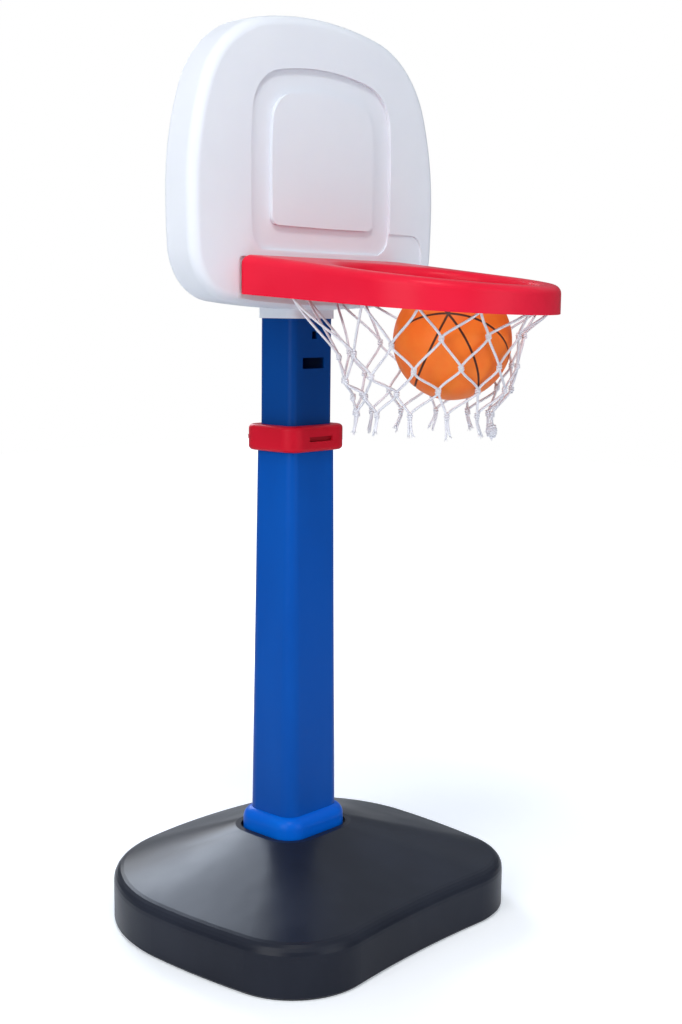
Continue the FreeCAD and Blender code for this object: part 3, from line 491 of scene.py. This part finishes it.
def cord_material():
    """Soft white spun yarn: fine fibres along the cord, a little sheen, and a lavender tint in slow patches.
    """
    material, tree, shader = shader_nodes("twisted_white_cord")
    where = object_place(tree)
    fibre = noise_field(tree, where, FIBRE_SIZE, detail=4.0, roughness=0.7)
    cloud = noise_field(tree, where, CORD_CLOUD_SIZE, detail=2.0)
    tone = blend_colours(tree, remap(tree, fibre, FIBRE_SPAN, (0.0, 1.0)), CORD_SHADE, CORD_WHITE)
    tone = blend_colours(tree, remap(tree, cloud, CORD_CLOUD_SPAN, (0.0, CORD_LAVENDER_SHARE)), tone, CORD_LAVENDER)
    tree.links.new(tone, shader.inputs["Base Color"])
    tree.links.new(remap(tree, fibre, FIBRE_SPAN, FIBRE_ROUGHNESS), shader.inputs["Roughness"])
    shader.inputs["Specular IOR Level"].default_value = 0.2
    shader.inputs["Sheen Weight"].default_value = 0.25
    shader.inputs["Subsurface Weight"].default_value = 0.25
    shader.inputs["Subsurface Radius"].default_value = CORD_LIGHT_REACH
    shader.inputs["Subsurface Scale"].default_value = 1.0
    bump_chain(tree, shader, [(fibre, FIBRE_DEPTH)])
    return material


def cord_piece(name, verts, faces):
    """Smooth-shaded piece of cord made of the collected tubes."""
    mesh = bpy.data.meshes.new(name)
    mesh.from_pydata([tuple(vert) for vert in verts], [], faces)
    mesh.polygons.foreach_set("use_smooth", [True] * len(mesh.polygons))
    mesh.materials.append(net_cord)
    piece = bpy.data.objects.new(name, mesh)
    bpy.context.scene.collection.objects.link(piece)
    return piece


LOOP_RADIUS = 5.0 * MM
LOOP_START = math.radians(-52.0)
LOOP_SWEEP = math.radians(284.0)
LOOP_STEPS = 30
LOOP_CORD_SHARE = 0.92
LOOP_END_GAP = 0.6 * MM
TIE_HEIGHT = 5.0 * MM
TIE_ENTRY_SHARE = 0.2
TIE_WRAP_RADIUS = 1.7 * MM
TIE_TURNS = 2.2

net_cord = cord_material()
hangers = hook_spots()
tie_points = [Vector((x, y, hook_bar_z(y) - LOOP_RADIUS - TIE_HEIGHT / 2)) for x, y, angle in hangers]
knot_rows = [[net_knot(row, step) for step in range(NET_COUNT)] for row in range(len(NET_DROPS))]


def net_hangers():
    """Loops over the bars of the hook plates, each tied off below its bar."""
    verts = []
    faces = []
    for (x, y, angle), tie in zip(hangers, tie_points):
        bar = Vector((x, y, hook_bar_z(y)))
        out = Vector((-math.sin(angle), math.cos(angle), 0.0))
        entry = tie + UP * (TIE_ENTRY_SHARE * TIE_HEIGHT)
        points = [entry + out * LOOP_END_GAP]
        for index in range(LOOP_STEPS + 1):
            turn = LOOP_START + LOOP_SWEEP * index / LOOP_STEPS
            points.append(bar + out * (LOOP_RADIUS * math.cos(turn)) + UP * (LOOP_RADIUS * math.sin(turn)))
        points.append(entry - out * LOOP_END_GAP)
        twisted_tube(verts, faces, points, LOOP_CORD_SHARE * CORD_RADIUS, turn=angle)
        wrapped_knot(verts, faces, tie, outward_of(tie), TIE_HEIGHT, TIE_WRAP_RADIUS, KNOT_CORD_RADIUS,
                     TIE_TURNS)
    return cord_piece("net_hangers", verts, faces)


RUN_ASIDE = 0.9 * MM
RUN_EXIT_SHARE = 0.36
RUN_STRAIGHT_SHARE = 1.2
RUN_LIFT_SHARE = 0.35
RUN_SLACK_SHARE = 0.12
RUN_SLACK_DROP = -0.4
RUN_PULL = 0.3


def net_run_ends():
    """Knots at the low and high end of each run, with the height of each knot."""
    runs = []
    for step in range(NET_COUNT):
        following = (step + 1) % NET_COUNT
        runs.append((knot_rows[0][step], tie_points[step], KNOT_HEIGHT, TIE_HEIGHT))
        runs.append((knot_rows[0][step], tie_points[following], KNOT_HEIGHT, TIE_HEIGHT))
        for row in range(1, len(knot_rows)):
            neighbour = (step - 1) % NET_COUNT if row % 2 == 1 else following
            runs.append((knot_rows[row][step], knot_rows[row - 1][step], KNOT_HEIGHT, KNOT_HEIGHT))
            runs.append((knot_rows[row][step], knot_rows[row - 1][neighbour], KNOT_HEIGHT, KNOT_HEIGHT))
    return runs


def net_runs():
    """Slightly slack runs between the knots; those that touch the ball lie on its skin."""
    verts = []
    faces = []
    for low, high, low_height, high_height in net_run_ends():
        way = (high - low).normalized()
        aside = Vector((way.x, way.y, 0.0)).normalized() * RUN_ASIDE
        start = low + UP * (RUN_EXIT_SHARE * low_height) + aside
        end = high - UP * (RUN_EXIT_SHARE * high_height) - aside
        slack = Vector((chance.uniform(-1, 1), chance.uniform(-1, 1), RUN_SLACK_DROP))
        slack *= RUN_SLACK_SHARE * chance.random()
        start_lift = UP * chance.uniform(0.0, RUN_LIFT_SHARE)
        end_lift = UP * chance.uniform(0.0, RUN_LIFT_SHARE)
        start_way = (way * RUN_STRAIGHT_SHARE + start_lift + slack).normalized()
        end_way = (way * RUN_STRAIGHT_SHARE + end_lift - slack).normalized()
        points = smooth_run(start, start_way, end, end_way, RUN_PULL)
        twisted_tube(verts, faces, clear_of_ball(points, CORD_RADIUS), CORD_RADIUS,
                     turn=chance.uniform(0, 2 * math.pi))
    return cord_piece("net_runs", verts, faces)


def net_knots():
    """A wrapped knot wherever two runs meet."""
    verts = []
    faces = []
    for row in knot_rows:
        for knot in row:
            height = KNOT_HEIGHT * chance.uniform(*KNOT_HEIGHT_SHARES)
            wrapped_knot(verts, faces, knot, outward_of(knot), height, KNOT_WRAP_RADIUS, KNOT_CORD_RADIUS,
                         chance.choice(KNOT_TURNS))
    return cord_piece("net_knots", verts, faces)


FRAY_STRANDS = 9
FRAY_RADIUS = 0.28 * MM
FRAY_SHORTEST = 3.5 * MM
FRAY_LONGEST = 6.5 * MM
FRAY_ROOT = 2.5 * MM
FRAY_GATHER = 1.4 * MM
FRAY_SPREAD_SHARE = 0.55
FRAY_RISE_SHARE = 0.4
FRAY_FAN_SHARE = 0.8
FRAY_CURL_SHARE = 1.6


def frayed_end(verts, faces, tip, way):
    """A brush of loose fibres at the cut end of a cord."""
    for strand in range(FRAY_STRANDS):
        spread = Vector((chance.uniform(-1, 1), chance.uniform(-1, 1),
                         chance.uniform(-FRAY_RISE_SHARE, FRAY_RISE_SHARE))) * FRAY_SPREAD_SHARE
        begin = tip - way * FRAY_ROOT + spread * FRAY_GATHER
        length = chance.uniform(FRAY_SHORTEST, FRAY_LONGEST)
        end = begin + (way + spread * FRAY_FAN_SHARE).normalized() * length
        points = smooth_run(begin, way, end, (way + spread * FRAY_CURL_SHARE).normalized(), RUN_PULL)
        twisted_tube(verts, faces, points, FRAY_RADIUS)


TAIL_LENGTH = 27.0 * MM
TAIL_LENGTH_SHARES = (0.72, 1.0)
TAIL_TOP_SHARE = 0.3
TAIL_CORD_SHARE = 0.95
TAIL_GAP = 1.5 * MM
TAIL_OUT_SHARE = 0.25
TAIL_SIDE_SHARE = 0.35
TAIL_SPLAY_SHARE = 0.07
TAIL_CURL_SHARE = 0.3
TAIL_PULL = 0.35
TASSEL_STEP = 4
TASSEL_DROP_SHARE = 0.8
TASSEL_STEM_SHARE = 1.2
TASSEL_HEIGHT = 19.0 * MM
TASSEL_WRAP_RADIUS = 3.6 * MM
TASSEL_CORD_RADIUS = 2.2 * MM
TASSEL_TURNS = 5.6
TASSEL_BELLY = 0.7
TASSEL_END_DROP = 11.0 * MM


def tassel(verts, faces, knot, top, outward):
    """The one end that is wrapped into a thick tassel, with a brush below it."""
    centre = knot - UP * (TASSEL_DROP_SHARE * TAIL_LENGTH)
    stem = smooth_run(top, -UP, centre, -UP, RUN_PULL)
    twisted_tube(verts, faces, stem, TASSEL_STEM_SHARE * CORD_RADIUS)
    wrapped_knot(verts, faces, centre, outward, TASSEL_HEIGHT, TASSEL_WRAP_RADIUS, TASSEL_CORD_RADIUS,
                 TASSEL_TURNS, belly=TASSEL_BELLY)
    frayed_end(verts, faces, centre - UP * TASSEL_END_DROP, -UP)


def net_tails():
    """Doubled cord ends below the last row, all but the tassel frayed where they are cut."""
    verts = []
    faces = []
    for step, knot in enumerate(knot_rows[-1]):
        outward = outward_of(knot)
        across = outward.cross(UP)
        top = knot - UP * (TAIL_TOP_SHARE * KNOT_HEIGHT)
        if step == TASSEL_STEP:
            tassel(verts, faces, knot, top, outward)
            continue
        lean = outward * chance.uniform(0.0, TAIL_OUT_SHARE)
        lean += across * chance.uniform(-TAIL_SIDE_SHARE, TAIL_SIDE_SHARE)
        for side in (-1, 1):
            length = TAIL_LENGTH * chance.uniform(*TAIL_LENGTH_SHARES)
            way = (lean - UP + across * (TAIL_SPLAY_SHARE * side)).normalized()
            start = top + across * (TAIL_GAP * side)
            tip = start + way * length
            tip_way = (way + across * (TAIL_CURL_SHARE * side * chance.random())).normalized()
            points = smooth_run(start, -UP, tip, tip_way, TAIL_PULL)
            twisted_tube(verts, faces, points, TAIL_CORD_SHARE * CORD_RADIUS,
                         turn=chance.uniform(0, 2 * math.pi))
            frayed_end(verts, faces, tip, tip_way)
    return cord_piece("net_tails", verts, faces)


for piece in (net_hangers(), net_runs(), net_knots(), net_tails()):
    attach(piece, "head")
    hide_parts("net")


# Ball and its valve
# The real ball is a moulded rubber skin, orange with a fine pebble, blown up through a black
# rubber valve. Smooth dark seams lie in shallow grooves; three of them cross at one point.

BALL_SUBDIVISIONS = 6
SEAM_WIDTH = 3.0 * MM
SEAM_DEPTH = 0.8 * MM
SEAM_FINE_SHARES = (2.4, 1.3)
SEAM_SLOPE_SHARE = 0.52
SEAM_STEEPNESS = 4
VALVE_TILT = math.radians(62.0)
VALVE_WELL_RADIUS = 5.6 * MM
VALVE_WELL_DEPTH = 0.9 * MM
VALVE_WELL_STEEPNESS = 10

# Each seam lies in a plane: the direction square to it, and its distance from the middle of the ball
# as a share of the radius, set from where the seams show in the photograph.
SEAM_PLANES = (
    (Vector((0.576, 0.350, 0.739)).normalized(), -0.266),
    (Vector((-0.491, 0.755, 0.435)).normalized(), 0.197),
    (Vector((0.805, -0.354, 0.476)).normalized(), -0.221),
)


def seam_gap(way):
    """Distance along the skin from a direction to the middle of the nearest seam."""
    return min(abs(math.asin(max(-1.0, min(1.0, plane.dot(way)))) - math.asin(shift))
               for plane, shift in SEAM_PLANES) * ball_radius


def refine_skin(skin, valve_way, near):
    """Halves the edges that lie within a distance of a seam or of the well of the valve."""
    chosen = []
    for edge in skin.edges:
        way = ((edge.verts[0].co + edge.verts[1].co) / 2).normalized()
        to_valve = way.angle(valve_way) * ball_radius
        if seam_gap(way) < near or to_valve < near + VALVE_WELL_RADIUS:
            chosen.append(edge)
    bmesh.ops.subdivide_edges(skin, edges=chosen, cuts=1, use_grid_fill=True)
    bmesh.ops.triangulate(skin, faces=[face for face in skin.faces if len(face.verts) > 3])
    for vert in skin.verts:
        vert.co = vert.co.normalized() * ball_radius


def ball_skin():
    """Fine sphere, finer still along its seams, with the seams and the well of the valve pressed in."""
    skin = bmesh.new()
    bmesh.ops.create_icosphere(skin, subdivisions=BALL_SUBDIVISIONS, radius=ball_radius)
    valve_way = Vector((0.0, math.cos(VALVE_TILT), math.sin(VALVE_TILT)))
    for share in SEAM_FINE_SHARES:
        refine_skin(skin, valve_way, share * SEAM_WIDTH)
    for vert in skin.verts:
        way = vert.co.normalized()
        from_seam = seam_gap(way) / (SEAM_SLOPE_SHARE * SEAM_WIDTH)
        from_valve = way.angle(valve_way) * ball_radius / VALVE_WELL_RADIUS
        seam_sink = SEAM_DEPTH * math.exp(-(from_seam ** SEAM_STEEPNESS))
        valve_sink = VALVE_WELL_DEPTH * math.exp(-(from_valve ** VALVE_WELL_STEEPNESS))
        vert.co = way * (ball_radius - max(seam_sink, valve_sink))
    mesh = bpy.data.meshes.new("ball_skin")
    skin.to_mesh(mesh)
    skin.free()
    mesh.polygons.foreach_set("use_smooth", [True] * len(mesh.polygons))
    piece = bpy.data.objects.new("ball_skin", mesh)
    bpy.context.scene.collection.objects.link(piece)
    piece.location = ball_centre
    return piece


def reckon(tree, operation, first, second=None):
    """One sum of numbers that are each a constant or a link."""
    step = tree.nodes.new("ShaderNodeMath")
    step.operation = operation
    for socket, number in zip(step.inputs, (first, second)):
        if isinstance(number, float):
            socket.default_value = number
        elif number is not None:
            tree.links.new(number, socket)
    return step.outputs["Value"]


def seam_share(tree, where, half_width, fade):
    """One on the seams and zero away from them, worked out from the planes that they lie in."""
    unit = tree.nodes.new("ShaderNodeVectorMath")
    unit.operation = "NORMALIZE"
    tree.links.new(where, unit.inputs[0])
    nearest = None
    for plane, shift in SEAM_PLANES:
        height = tree.nodes.new("ShaderNodeVectorMath")
        height.operation = "DOT_PRODUCT"
        height.inputs[1].default_value = plane
        tree.links.new(unit.outputs["Vector"], height.inputs[0])
        angle = reckon(tree, "ARCSINE", height.outputs["Value"])
        gap = reckon(tree, "ABSOLUTE", reckon(tree, "SUBTRACT", angle, math.asin(shift)))
        nearest = gap if nearest is None else reckon(tree, "MINIMUM", nearest, gap)
    span = ((half_width - fade) / ball_radius, (half_width + fade) / ball_radius)
    return remap(tree, nearest, span, (1.0, 0.0))


BALL_ORANGE = (0.97, 0.215, 0.020)
BALL_ORANGE_DEEP = (0.97, 0.18, 0.016)
BALL_CLOUD_SIZE = 30.0 * MM
BALL_TONE_SPAN = (0.35, 0.7)
BALL_GLOSS_SPAN = (0.3, 0.7)
BALL_ROUGHNESS = (0.42, 0.52)
PEBBLE_SIZE = 2.1 * MM
PEBBLE_DEPTH = 0.12 * MM
PEBBLE_SPAN = (0.05, 0.55)
SEAM_BROWN = (0.070, 0.017, 0.008)
SEAM_FADE_SHARE = 0.12


def ball_material():
    """Orange rubber with a fine pebble that stops at the smooth brown seams."""
    material, tree, shader = shader_nodes("orange_ball_rubber")
    where = object_place(tree)
    pebble = tree.nodes.new("ShaderNodeTexVoronoi")
    pebble.inputs["Scale"].default_value = 1.0 / PEBBLE_SIZE
    tree.links.new(where, pebble.inputs["Vector"])
    seam = seam_share(tree, where, 0.5 * SEAM_WIDTH, SEAM_FADE_SHARE * SEAM_WIDTH)
    cloud = noise_field(tree, where, BALL_CLOUD_SIZE, detail=3.0)
    tone = blend_colours(tree, remap(tree, cloud, BALL_TONE_SPAN, (0.0, 1.0)), BALL_ORANGE, BALL_ORANGE_DEEP)
    tone = blend_colours(tree, seam, tone, SEAM_BROWN)
    tree.links.new(tone, shader.inputs["Base Color"])
    tree.links.new(remap(tree, cloud, BALL_GLOSS_SPAN, BALL_ROUGHNESS), shader.inputs["Roughness"])
    shader.inputs["Specular IOR Level"].default_value = 0.3
    grain = remap(tree, pebble.outputs["Distance"], PEBBLE_SPAN, (1.0, 0.0))
    off_seam = remap(tree, seam, (0.0, 1.0), (1.0, 0.0))
    bump_chain(tree, shader, [(reckon(tree, "MULTIPLY", grain, off_seam), PEBBLE_DEPTH)])
    return material


skin = ball_skin()
skin.data.materials.append(ball_material())
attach(skin, "ball")
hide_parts("ball")
give_finish("ball_valve", washer_rubber)


# Floor, light and camera
# The toy stands on a plain white studio floor. Five soft boxes light it from the left, the front,
# above and behind, and the camera is where the photograph was taken from.

FLOOR_REACH = 6.0
FLOOR_WHITE = (0.86, 0.87, 0.89)
FLOOR_WHITE_PALE = (0.88, 0.89, 0.91)
FLOOR_MOTTLE_SIZE = 0.4
FLOOR_MOTTLE_SPAN = (0.3, 0.7)
FLOOR_GLOW = (0.90, 0.95, 1.0, 1.0)
FLOOR_LIFT = 0.34
FLOOR_LIFT_SPAN = (0.5, 1.5)


def floor_material():
    """Matt white floor, lifted to the white of the background where nothing shades it."""
    material, tree, shader = shader_nodes("studio_floor")
    where = object_place(tree)
    mottle = noise_field(tree, where, FLOOR_MOTTLE_SIZE, detail=2.0)
    tone = blend_colours(tree, remap(tree, mottle, FLOOR_MOTTLE_SPAN, (0.0, 1.0)), FLOOR_WHITE,
                         FLOOR_WHITE_PALE)
    tree.links.new(tone, shader.inputs["Base Color"])
    shader.inputs["Roughness"].default_value = 0.9
    shader.inputs["Specular IOR Level"].default_value = 0.1
    distance = tree.nodes.new("ShaderNodeVectorMath")
    distance.operation = "LENGTH"
    tree.links.new(where, distance.inputs[0])
    lift = remap(tree, distance.outputs["Value"], FLOOR_LIFT_SPAN, (FLOOR_LIFT, 1.0))
    path = tree.nodes.new("ShaderNodeLightPath")
    glow = tree.nodes.new("ShaderNodeEmission")
    glow.inputs["Color"].default_value = FLOOR_GLOW
    tree.links.new(reckon(tree, "MULTIPLY", path.outputs["Is Camera Ray"], lift), glow.inputs["Strength"])
    both = tree.nodes.new("ShaderNodeAddShader")
    tree.links.new(shader.outputs["BSDF"], both.inputs[0])
    tree.links.new(glow.outputs["Emission"], both.inputs[1])
    tree.links.new(both.outputs["Shader"], tree.nodes["Material Output"].inputs["Surface"])
    return material


floor_mesh = bpy.data.meshes.new("floor")
floor_corners = [(x * FLOOR_REACH, y * FLOOR_REACH, 0.0) for x, y in ((-1, -1), (1, -1), (1, 1), (-1, 1))]
floor_mesh.from_pydata(floor_corners, [], [(0, 1, 2, 3)])
floor_mesh.materials.append(floor_material())
floor = bpy.data.objects.new("floor", floor_mesh)
bpy.context.scene.collection.objects.link(floor)

WORLD_LIGHT = 0.40
WORLD_TINT = (0.85, 0.92, 1.0)
WORLD_GLOSS = 0.15
CEILING_GLOSS = 0.75
CEILING_SPAN = (0.15, 0.65)
WHITE = (1.0, 1.0, 1.0)


def blend_levels(tree, share, first, second):
    """Mixes two levels, each a constant or a link, by a linked share."""
    mixer = tree.nodes.new("ShaderNodeMix")
    tree.links.new(share, mixer.inputs["Factor"])
    # A plain mixer takes its two levels at sockets 2 and 3 and gives the result at output 0.
    for index, level in ((2, first), (3, second)):
        if isinstance(level, float):
            mixer.inputs[index].default_value = level
        else:
            tree.links.new(level, mixer.inputs[index])
    return mixer.outputs[0]


def studio_world():
    """White where the camera sees it, a soft light elsewhere, and a brighter ceiling in the gloss."""
    world = bpy.data.worlds.new("studio")
    bpy.context.scene.world = world
    world.use_nodes = True
    tree = world.node_tree
    background = tree.nodes["Background"]
    path = tree.nodes.new("ShaderNodeLightPath")
    seen = reckon(tree, "MAXIMUM", path.outputs["Is Camera Ray"], path.outputs["Is Transmission Ray"])
    direction = tree.nodes.new("ShaderNodeTexCoord")
    heights = tree.nodes.new("ShaderNodeSeparateXYZ")
    tree.links.new(direction.outputs["Generated"], heights.inputs["Vector"])
    gloss = remap(tree, heights.outputs["Z"], CEILING_SPAN, (WORLD_GLOSS, CEILING_GLOSS))
    soft = blend_levels(tree, path.outputs["Is Glossy Ray"], WORLD_LIGHT, gloss)
    tree.links.new(blend_levels(tree, seen, soft, 1.0), background.inputs["Strength"])
    tree.links.new(blend_colours(tree, seen, WORLD_TINT, WHITE), background.inputs["Color"])


def softbox(name, place, target, width, height, power, spread=180.0, tint=WHITE):
    """Rectangular lamp that faces a target; a narrow spread, in degrees, keeps its light to a patch."""
    lamp = bpy.data.lights.new(name, "AREA")
    lamp.color = tint
    lamp.shape = "RECTANGLE"
    lamp.size = width
    lamp.size_y = height
    lamp.energy = power
    lamp.spread = math.radians(spread)
    holder = bpy.data.objects.new(name, lamp)
    bpy.context.scene.collection.objects.link(holder)
    holder.location = place
    holder.rotation_euler = (Vector(target) - Vector(place)).to_track_quat("-Z", "Y").to_euler()


studio_world()
softbox("key_light", place=(-2.7, -0.6, 1.6), target=(0.0, 0.0, 0.65),
        width=1.6, height=2.0, power=37.0)
softbox("front_light", place=(0.2, -3.0, 1.4), target=(0.0, 0.0, 0.7),
        width=1.6, height=2.0, power=20.0, tint=(0.94, 0.97, 1.0))
softbox("top_light", place=(-0.95, -1.0, 2.5), target=(0.0, -0.1, 0.3),
        width=0.4, height=0.4, power=15.0)
softbox("back_light", place=(1.1, 2.5, 1.6), target=(0.0, 0.0, 0.7),
        width=1.6, height=1.6, power=18.0)
softbox("roof_light", place=(0.8, 2.2, 1.8), target=(-0.15, 0.0, 0.08),
        width=1.2, height=1.2, power=2.2, spread=42.0, tint=(0.72, 0.83, 1.0))

CAMERA_PLACE = Vector((-1.5021, -1.4526, 0.9135))
CAMERA_YAW = math.radians(47.84)
CAMERA_DOWN = math.radians(8.12)
CAMERA_ROLL = math.radians(0.64)
CAMERA_LENS = 49.36
SENSOR_WIDTH = 36.0
CAMERA_NEAR = 0.05
CAMERA_FAR = 50.0


def photo_camera():
    """Camera where the photograph was taken from, looking the same way."""
    forward = Vector((math.sin(CAMERA_YAW) * math.cos(CAMERA_DOWN),
                      math.cos(CAMERA_YAW) * math.cos(CAMERA_DOWN), -math.sin(CAMERA_DOWN)))
    level = Vector((math.cos(CAMERA_YAW), -math.sin(CAMERA_YAW), 0.0))
    above = level.cross(forward)
    right = level * math.cos(CAMERA_ROLL) + above * math.sin(CAMERA_ROLL)
    up = above * math.cos(CAMERA_ROLL) - level * math.sin(CAMERA_ROLL)
    camera = bpy.data.objects.new("camera", bpy.data.cameras.new("camera"))
    bpy.context.scene.collection.objects.link(camera)
    turn = Matrix((right, up, -forward)).transposed()
    camera.matrix_world = Matrix.Translation(CAMERA_PLACE) @ turn.to_4x4()
    camera.data.lens = CAMERA_LENS
    camera.data.sensor_width = SENSOR_WIDTH
    camera.data.clip_start = CAMERA_NEAR
    camera.data.clip_end = CAMERA_FAR
    bpy.context.scene.camera = camera


photo_camera()
bpy.context.scene.view_settings.view_transform = "Standard"
